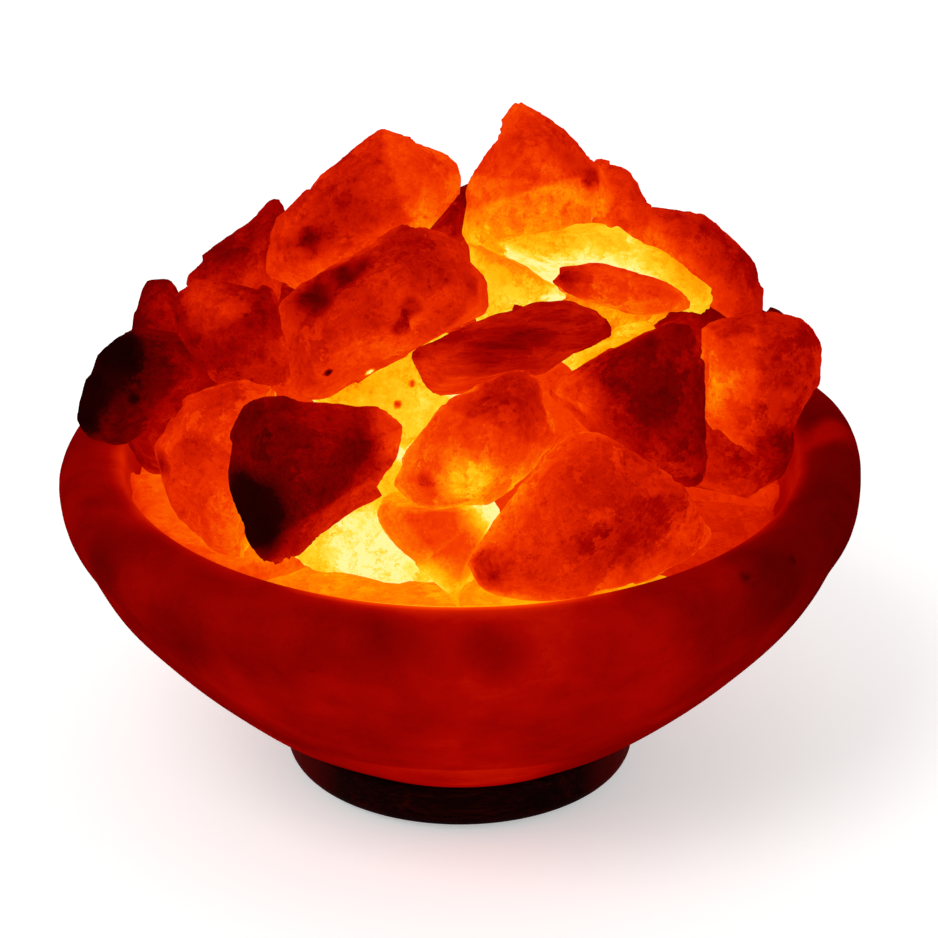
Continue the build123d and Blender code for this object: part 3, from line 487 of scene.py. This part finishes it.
def smooth_line(points, step):
    """Points about a step apart on a smooth line through the given ones."""
    points = [np.array(point, float) for point in points]
    points = [2 * points[0] - points[1]] + points + [2 * points[-1] - points[-2]]
    line = []
    for before, here, after, beyond in zip(points, points[1:], points[2:], points[3:]):
        count = max(1, round(np.linalg.norm(after - here) / step))
        for index in range(count):
            t = index / count
            line.append(0.5 * (2 * here + (after - before) * t
                               + (2 * before - 5 * here + 4 * after - beyond) * t ** 2
                               + (3 * here - before - 3 * after + beyond) * t ** 3))
    return line


def rise(value, start, way):
    """0 up to the start and 1 from a way past it, in a straight line between them."""
    return min(1.0, max(0.0, value - start) / way)


bowl = bmesh.new()
section = []
for part in (BOWL_FOOT, BOWL_OUTSIDE, BOWL_LIP, BOWL_INSIDE, BOWL_FLOOR, BOWL_BORE):
    section += smooth_line(part, SECTION_STEP)
ring = [bowl.verts.new((0.001 * radius, 0, 0.001 * height)) for radius, height in section]
edges = [bowl.edges.new(pair) for pair in zip(ring, ring[1:] + ring[:1])]
bmesh.ops.spin(bowl, geom=ring + edges, cent=(0, 0, 0), axis=(0, 0, 1), angle=2 * math.pi, steps=BOWL_STEPS,
               use_merge=True)
bmesh.ops.remove_doubles(bowl, verts=bowl.verts, dist=1e-6)
bmesh.ops.recalc_face_normals(bowl, faces=bowl.faces)
for vert in bowl.verts:
    radius = math.hypot(vert.co.x, vert.co.y)
    outside = radius - np.interp(vert.co.z * 1000, *WALL_SPLIT) / 1000
    if outside > 0:
        wave = noise.fractal(vert.co * CARVED_WAVES, *WAVE_OCTAVES) - WAVE_SINK
        share = rise(outside, 0.0, WAVE_THROUGH) * rise(vert.co.z, BOWL_BOTTOM, WAVE_UP)
        vert.co.xy *= 1 + CARVED_WAVE * wave * share / radius
        high = rise(vert.co.x / radius, *HIGH_RIGHT) * rise(vert.co.z, *HIGH_UP)
        vert.co.z += HIGH_SIDE * high * rise(radius, *HIGH_OUT)
bowl_piece = new_object("carved_bowl", bowl)
mesh = bowl_piece.data
mesh.polygons.foreach_set("use_smooth", [True] * len(mesh.polygons))
points = rows_of(mesh.vertices, "co")
radius = np.hypot(points[:, 0], points[:, 1])
side = points[:, 0] / np.maximum(radius, 1e-6)
front = -points[:, 1] / np.maximum(radius, 1e-6)
height = points[:, 2]
outer_level = np.interp(side, *zip(*BOWL_LEVEL)) + WALL_LIGHTER * smooth_step(0.02, 0.05, height)
outer_level -= FOOT_DARKER * smooth_step(0.035, BOWL_BOTTOM, height)
outer_level = BACK_LEVEL + (outer_level - BACK_LEVEL) * smooth_step(-0.7, -0.1, front)
in_front = smooth_step(0.84, 0.98, front) * (1 - 0.5 * smooth_step(0.15, 0.5, side))
inner_level = INSIDE_LEVEL + INSIDE_FRONT * in_front
inner_level += INSIDE_LEFT * smooth_step(0.3, 0.9, -side) + INSIDE_RIGHT * smooth_step(0.5, 0.9, side)
from_inside = np.clip(radius - np.interp(height, *zip(*INNER_WALL, *INNER_EDGE)), 0, None)
near_inside = sum(share * np.exp(-from_inside / way) for share, way in WALL_LIGHT)
near_inside = np.where(height > FLOOR_TOP, near_inside, FOOT_LIGHT)
add_marks(mesh, outer_level + (inner_level - outer_level) * near_inside, BOWL_MARKS)
mesh.materials.append(rock_salt("carved red rock salt", cloud=0.10, mottle=0.03, fleck=0.03,
                                relief_strength=0.12))
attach(bowl_piece, "lamp")
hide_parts("salt_bowl")

# ---------------------------------------------------------------------------- salt stones
# Lumps of rock salt as they break from the seam: flat breaks with chipped, weathered edges. Each lets
# through some of the light behind it, so it is darkest where it is thickest and glows towards the gaps.
STONE_GRAIN = 0.0011             # metres between points of a stone's skin
HIDDEN_GRAIN = 0.0025            # the same for stones low in the bowl
CHIPS = 7                        # at most, on one stone
CHIP_LEAST = 0.012               # shortest edge that loses a chip
CHIP_DEPTH = (0.0004, 0.0012)
FACET_TONE = 0.035               # how much two breaks of one stone differ in glow
LUMP_SIZE, LUMP_HEIGHT = 0.024, 0.0016
LUMP_OCTAVES = (0.9, 2.2, 4)
BREAK_SIZE, BREAK_SLOPE = 0.018, 0.0036
TILT_CHANGE = 5.3                # how far apart in the noise two neighbouring breaks read their tilts
# Where the three parts of a break's tilt are read from the noise. Blender's own noise_vector isn't used: it
# differs from run to run.
TILTS_APART = [Vector((0, 0, 0)), Vector((9.3, 1.5, 7.9)), Vector((6.3, 0.2, 2.7))]
STONES_APART = (3.7, 1.3, 2.1)   # how far apart in the noise two stones are
FULLNESS = 0.0009                # skin that the rubbing took off, put back
KEEP_CLEAR = 0.4                 # share of the gap to a neighbour that a stone's roughness may take up
NEAR = 0.004                     # neighbours further off than this aren't looked at
STONES_WALL = INNER_WALL + [(LIP_HEIGHT, 0.0952)]    # the bowl's wall, as the stones keep clear of it
CLEAR_PATH = 0.020               # length of salt in which the light falls to about a third
LIGHT_REACH = 0.060              # distance at which a light has fallen to half
# Where the light comes from: the bulb, and the lit stones round the hollow over it.
LIGHTS = [((0.0, 0.0, 0.060), 1.0), ((0.0, 0.0, 0.084), 1.0)]
LIGHTS += [((0.030 * math.cos(a), 0.030 * math.sin(a), 0.104), 0.5) for a in np.arange(6) * math.pi / 3]
# The heap's surface over the mouth, and how deep under it salt counts as wholly sunk in light.
CROWN_HEIGHT, CROWN_SPREAD, CROWN_POWER = 0.088, 0.105, 2.5
SUNK_DEPTH = 0.05
# What each adds to the light behind a point: light that comes through, being sunk, and facing the middle.
THROUGH_SHARE, SUNK_SHARE, FACING_SHARE = 0.3, 0.6, 0.25
# A stone's level is the middle glow of what the eye sees of it: skin turned to the eye by so much, sunk no
# deeper than this, and made of at least so many points.
TURNED_TO_EYE, SUNK_LIMIT, ENOUGH_POINTS = 0.25, 0.7, 51
HIDDEN_CONTRAST = 0.35

# Each stone in sight: how strongly it glows, how much the light behind it tells, and its marks.
SEEN_STONES = {
    "stone_front_right": (0.565, 0.5, [("stain", (705, 510), 9, 0.35), ("stain", (650, 490), 8, 0.35),
                                      ("stain", (690, 550), 8, 0.3), ("stain", (738, 525), 5, 0.45),
                                      ("stain", (636, 560), 6, 0.3), ("facet", (505, 470, 620, 590), 3, 0.03),
                                      ("light", (485, 572), 6, -0.12), ("light", (640, 520), 14, -0.03),
                                      ("light", (500, 550), 12, -0.07), ("light", (560, 575), 12, -0.05)]),
    "stone_front_left": (0.27, 0.4, [("stain", (255, 505), 13, 1.05), ("stain", (258, 542), 9, 0.5),
                                     ("stain", (245, 425), 7, 0.45), ("stain", (285, 402), 6, 0.5),
                                     ("stain", (320, 402), 6, 0.42), ("stain", (355, 450), 6, 0.4),
                                     ("facet", (262, 545, 385, 470), 1.0, 0.11),
                                     ("light", (398, 428), 9, 0.3), ("light", (330, 415), 12, 0.1)]),
    "stone_centre": (0.60, 0.5, [("light", (510, 385), 12, -0.13), ("sparkle", (472, 482), 8, 1.6),
                                 ("light", (472, 482), 8, 0.32), ("light", (440, 462), 8, 0.08),
                                 ("stain", (425, 482), 4, 0.5), ("stain", (520, 418), 4, 0.4),
                                 ("facet", (428, 400, 560, 452), 2.5, 0.06)]),
    "stone_right_dark": (0.35, 0.4, [("light", (572, 392), 9, 0.14), ("light", (610, 385), 9, 0.02),
                                     ("stain", (640, 350), 6, 0.35), ("light", (680, 455), 9, 0.05),
                                     ("stain", (665, 335), 6, 0.35), ("light", (560, 385), 5, 0.08)]),
    "stone_slab": (0.40, 0.4, [("stain", (540, 326), 8, 0.3), ("stain", (500, 338), 7, 0.28),
                               ("light", (440, 375), 9, 0.12), ("light", (560, 318), 7, 0.05),
                               ("facet", (430, 360, 600, 345), 2, 0.05)]),
    "stone_ridge": (0.51, 0.4, [("stain", (303, 308), 9, 0.55), ("stain", (328, 288), 9, 0.5),
                                ("stain", (350, 272), 6, 0.42), ("stain", (370, 262), 4, 0.42),
                                ("stain", (402, 326), 4, 0.58), ("stain", (411, 308), 4, 0.58),
                                ("stain", (446, 318), 6, 0.55), ("stain", (472, 300), 5, 0.35),
                                ("stain", (470, 280), 4, 0.4), ("stain", (328, 372), 1.6, 1.3),
                                ("light", (430, 262), 9, -0.03), ("facet", (300, 345, 480, 300), 4, 0.03),
                                ("light", (370, 372), 1.3, 0.5), ("light", (478, 300), 8, 0.06)]),
    "stone_left_low": (0.56, 0.4, [("stain", (162, 465), 6, 0.5), ("stain", (192, 452), 6, 0.35),
                                   ("light", (225, 520), 8, 0.06), ("light", (230, 430), 8, 0.05),
                                   ("facet", (150, 440, 250, 400), 4, 0.04)]),
    "stone_right_edge": (0.51, 0.4, [("light", (735, 365), 9, 0.11), ("light", (728, 395), 8, 0.08),
                                     ("stain", (787, 380), 3.5, 0.45), ("light", (770, 455), 9, -0.22),
                                     ("facet", (756, 420, 758, 350), 1.5, -0.04),
                                     ("light", (810, 400), 10, 0.02)]),
    "stone_nose": (0.64, 0.4, [("light", (562, 285), 7, -0.22), ("stain", (565, 282), 4, 0.4),
                               ("light", (690, 302), 9, 0.06), ("light", (620, 295), 8, 0.07)]),
    # Its stain marks make the outer left side of this stone nearly black.
    "stone_left_dark": (0.24, 0.4, [("stain", (105, 365), 12, 1.2), ("stain", (85, 410), 9, 1.2),
                                    ("stain", (75, 432), 6, 0.9), ("stain", (125, 350), 7, 0.7),
                                    ("stain", (135, 400), 2.2, 0.8), ("light", (180, 405), 9, 0.06),
                                    ("light", (150, 440), 8, 0.06), ("light", (165, 365), 9, 0.03)]),
    "stone_left_upper": (0.40, 0.4, [("light", (215, 300), 10, 0.12), ("stain", (240, 327), 5, 0.42),
                                     ("stain", (260, 317), 5, 0.42), ("light", (245, 350), 10, 0.04),
                                     ("facet", (180, 345, 285, 300), 1.5, -0.04)]),
    "stone_bright": (0.925, 0.3, [("sparkle", (600, 250), 12, 0.8), ("light", (615, 247), 14, 0.16),
                                  ("stain", (640, 262), 6, 0.4), ("stain", (610, 262), 5, 0.35),
                                  ("light", (715, 300), 9, -0.12)]),
    "stone_peak": (0.61, 0.35, [("facet", (480, 206, 545, 186), 1.2, 0.07),
                                ("facet", (545, 184, 600, 192), 1.2, 0.07),
                                ("stain", (583, 168), 7, 0.5), ("stain", (560, 152), 5, 0.35),
                                ("stain", (595, 182), 4, 0.45), ("light", (530, 125), 10, -0.04),
                                ("light", (490, 200), 8, 0.03)]),
    "stone_peak_right": (0.68, 0.4, [("facet", (630, 245, 632, 165), 2, -0.06),
                                     ("light", (603, 200), 5, 0.12), ("stain", (620, 226), 4, 0.5)]),
    "stone_back_right": (0.50, 0.4, [("light", (665, 255), 9, 0.06), ("stain", (730, 262), 5, 0.35)]),
    "stone_crown_left": (0.545, 0.35, [("facet", (405, 215, 386, 148), 1.2, 0.08),
                                       ("facet", (285, 250, 420, 222), 2, 0.04),
                                       ("stain", (295, 246), 7, 0.52), ("stain", (320, 240), 6, 0.34),
                                       ("light", (345, 225), 12, -0.09)]),
    "stone_shoulder_left": (0.39, 0.4, [("light", (255, 290), 8, 0.1)]),
    "stone_left_tip": (0.35, 0.4, []),
    "stone_inner_left": (0.91, 0.4, [("stain", (412, 384), 1.3, 0.7), ("stain", (398, 404), 1.5, 0.7),
                                     ("stain", (370, 392), 1.0, 0.7), ("stain", (385, 410), 5, 0.2)]),
    "stone_inner_front": (0.76, 0.4, [("light", (400, 560), 11, 0.2), ("light", (490, 512), 8, 0.24),
                                      ("light", (430, 525), 9, -0.04), ("light", (440, 580), 9, 0.14)]),
    "stone_core_5": (0.97, 0.2, [("light", (370, 555), 14, 0.08), ("light", (300, 585), 12, -0.18)]),
    "stone_inner_top": (0.88, 0.4, [("light", (560, 298), 6, 0.1)]),
    "stone_notch": (0.42, 0.4, [("light", (468, 243), 5, 0.4)]),
}
# Glow of the others, by the start of their names.
HIDDEN_LEVELS = {"stone_bed_1": 0.57, "stone_bed_5": 0.72, "stone_bed_6": 0.80, "stone_bed_7": 0.84,
                 "stone_bed_8": 0.50, "stone_bed": 0.7, "stone_core_1": 0.98, "stone_core_4": 0.6,
                 "stone_core_6": 0.66, "stone_core": 0.88, "stone_rear_low_1": 0.44, "stone_rear_low_5": 0.5,
                 "stone_rear_low": 0.42, "stone_rear_high_1": 0.84, "stone_rear_high": 0.48}


def cut_block(node):
    """The stone's flat-faced block, its doubled points merged."""
    block = bmesh.new()
    block.from_mesh(node.data)
    bmesh.ops.remove_doubles(block, verts=block.verts, dist=1e-5)
    bmesh.ops.dissolve_limit(block, angle_limit=math.radians(0.5), verts=block.verts, edges=block.edges)
    return block


def face_rows(block):
    """Outward normal and offset of each face, as rows."""
    return np.array([[*face.normal, face.normal.dot(face.calc_center_median())] for face in block.faces])


def chip_edges(block, chance):
    """Breaks chips off the block's edges, each with one flat cut."""
    cuts = []
    long_edges = [edge for edge in block.edges if edge.calc_length() > CHIP_LEAST]
    for edge in chance.sample(long_edges, min(CHIPS, len(long_edges))):
        across = (edge.link_faces[0].normal + edge.link_faces[1].normal).normalized()
        along = (edge.verts[1].co - edge.verts[0].co).normalized()
        slope = 2 * chance.uniform(-1, 1) * CHIP_DEPTH[0] / edge.calc_length()
        across = (across + slope * along).normalized()
        middle = (edge.verts[0].co + edge.verts[1].co) / 2
        cuts.append((middle - chance.uniform(*CHIP_DEPTH) * across, across))
    for point, normal in cuts:
        everything = block.verts[:] + block.edges[:] + block.faces[:]
        cut = bmesh.ops.bisect_plane(block, geom=everything, plane_co=point, plane_no=normal, dist=1e-6,
                                     clear_outer=True)
        rim = [item for item in cut["geom_cut"] if isinstance(item, bmesh.types.BMEdge)]
        bmesh.ops.contextual_create(block, geom=rim)


def skin(name, block, grain):
    """Piece with an even skin of small faces over the block, and its edges rubbed a little round."""
    source = new_object(name, block)
    even = source.modifiers.new("even skin", "REMESH")
    even.mode = "VOXEL"
    even.voxel_size = grain
    rubbed = source.modifiers.new("rubbed edges", "SMOOTH")
    rubbed.factor = 0.5
    rubbed.iterations = 1
    graph = bpy.context.evaluated_depsgraph_get()
    mesh = bpy.data.meshes.new_from_object(source.evaluated_get(graph))
    old = source.data
    source.modifiers.clear()
    source.data = mesh
    bpy.data.meshes.remove(old)
    mesh.name = name
    mesh.polygons.foreach_set("use_smooth", [True] * len(mesh.polygons))
    return source


def rough_height(point, shift):
    """Height of the broken surface over the flat one: soft lumps, and flat breaks tilted each its own way."""
    place = Vector(point) / LUMP_SIZE + shift
    lumps = LUMP_HEIGHT * noise.fractal(place, *LUMP_OCTAVES)
    place = Vector(point) / BREAK_SIZE + shift
    centre = noise.voronoi(place)[1][0]
    tilt = Vector([noise.noise(TILT_CHANGE * centre + apart) for apart in TILTS_APART])
    return FULLNESS + lumps + BREAK_SLOPE * tilt.dot(place - centre)


def clearance(points, name):
    """Distance from each point to the nearest other stone, or to the wall of the bowl."""
    low, high = points.min(axis=0) - NEAR, points.max(axis=0) + NEAR
    wall = np.interp(points[:, 2], *zip(*STONES_WALL))
    room = np.maximum(wall - np.hypot(points[:, 0], points[:, 1]), points[:, 2] - LIP_HEIGHT)
    for other, rows in stone_faces.items():
        other_low, other_high = stone_boxes[other]
        if other != name and np.all(low < other_high) and np.all(high > other_low):
            room = np.minimum(room, (points @ rows[:, :3].T - rows[:, 3]).max(axis=1))
    return np.maximum(room, 0)


def light_through(points, rows):
    """Share of the light behind a stone that comes through to each point of its skin."""
    total = np.zeros(len(points))
    for source, weight in LIGHTS:
        way = np.array(source) - points
        distance = np.linalg.norm(way, axis=1)
        way /= distance[:, None]
        slope = way @ rows[:, :3].T
        room = np.maximum(rows[:, 3] - points @ rows[:, :3].T, 0)
        salt = np.where(slope > 1e-4, room / np.maximum(slope, 1e-4), 1.0).min(axis=1)
        kept = np.exp(-np.minimum(salt, distance) / CLEAR_PATH)
        total += weight * kept / (1 + (distance / LIGHT_REACH) ** 2)
    return total / sum(weight for source, weight in LIGHTS)


stone_names = sorted(name for name in nodes if name.startswith("stone_"))
blocks = {name: cut_block(nodes[name]) for name in stone_names}
stone_faces = {name: face_rows(block) for name, block in blocks.items()}
stone_boxes = {}
for name in stone_names:
    low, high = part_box(name)
    stone_boxes[name] = (np.array(low), np.array(high))

body_of = {name: body for body, members in frame["record"]["behaviour"]["bodies"].items() for name in members}
salts = {
    "plain": rock_salt("broken red rock salt", cloud=0.15, mottle=0.20, fleck=0.14, crack=0.05,
                       relief_strength=0.6),
    "clear": rock_salt("broken clear rock salt", cloud=0.08, mottle=0.12, fleck=0.08, crack=0.06,
                       relief_strength=0.5),
    "banded": rock_salt("banded red rock salt", cloud=0.12, mottle=0.22, fleck=0.12, crack=0.03,
                        stretch=(0.22, 1.0, 2.0), turn=(0, math.radians(-14), 0), relief_strength=0.7),
}
CLEAR_STONES = ("stone_bright", "stone_inner", "stone_core", "stone_bed", "stone_notch")

# Each stone is chipped, gets its skin, is made as rough as its neighbours allow, and then its glow. A stone's
# glow rises and falls with the light behind each point, and changes a little from one break to the next.
for number, name in enumerate(stone_names):
    chance = random.Random(number)
    chip_edges(blocks[name], chance)
    breaks = face_rows(blocks[name])
    tones = np.array([FACET_TONE * chance.uniform(-1, 1) for row in breaks])
    coarse = name.startswith(("stone_core", "stone_bed"))
    stone = skin(name.replace("stone", "salt"), blocks[name], HIDDEN_GRAIN if coarse else STONE_GRAIN)
    mesh = stone.data
    points = rows_of(mesh.vertices, "co")
    shift = Vector([number * apart for apart in STONES_APART])
    height = np.array([rough_height(point, shift) for point in points])
    height = np.minimum(height, KEEP_CLEAR * clearance(points, name))
    points += height[:, None] * rows_of(mesh.vertex_normals, "vector")
    mesh.vertices.foreach_set("co", points.astype(np.float32).ravel())
    mesh.update()
    normals = rows_of(mesh.vertex_normals, "vector")
    crown = CROWN_HEIGHT * (1 - (np.hypot(points[:, 0], points[:, 1]) / CROWN_SPREAD) ** CROWN_POWER)
    sunk = np.clip((crown + MOUTH.z - points[:, 2]) / SUNK_DEPTH, 0, 1)
    inward = np.array(LIGHTS[1][0]) - points
    inward /= np.linalg.norm(inward, axis=1)[:, None]
    facing = 0.5 + 0.5 * (normals * inward).sum(axis=1)
    through = light_through(points, stone_faces[name])
    behind = THROUGH_SHARE * through + SUNK_SHARE * sunk + FACING_SHARE * facing
    if name in SEEN_STONES:
        level, contrast, marks = SEEN_STONES[name]
        in_sight = (normals @ np.array(eye_way) > TURNED_TO_EYE) & (sunk < SUNK_LIMIT)
    else:
        level = next(value for start, value in HIDDEN_LEVELS.items() if name.startswith(start))
        contrast, marks = HIDDEN_CONTRAST, []
        in_sight = np.ones(len(points), bool)
    usual = np.median(behind[in_sight] if in_sight.sum() >= ENOUGH_POINTS else behind)
    nearest = (points @ breaks[:, :3].T - breaks[:, 3]).argmax(axis=1)
    add_marks(mesh, level + contrast * (behind - usual) + tones[nearest], marks)
    kind = "clear" if name.startswith(CLEAR_STONES) else "banded" if name == "stone_slab" else "plain"
    mesh.materials.append(salts[kind])
    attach(stone, body_of[name])
    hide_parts(name)

# ---------------------------------------------------------------------------- size of the finished lamp
# The box of the lamp as it is with its own stones and bowl.
low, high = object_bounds()
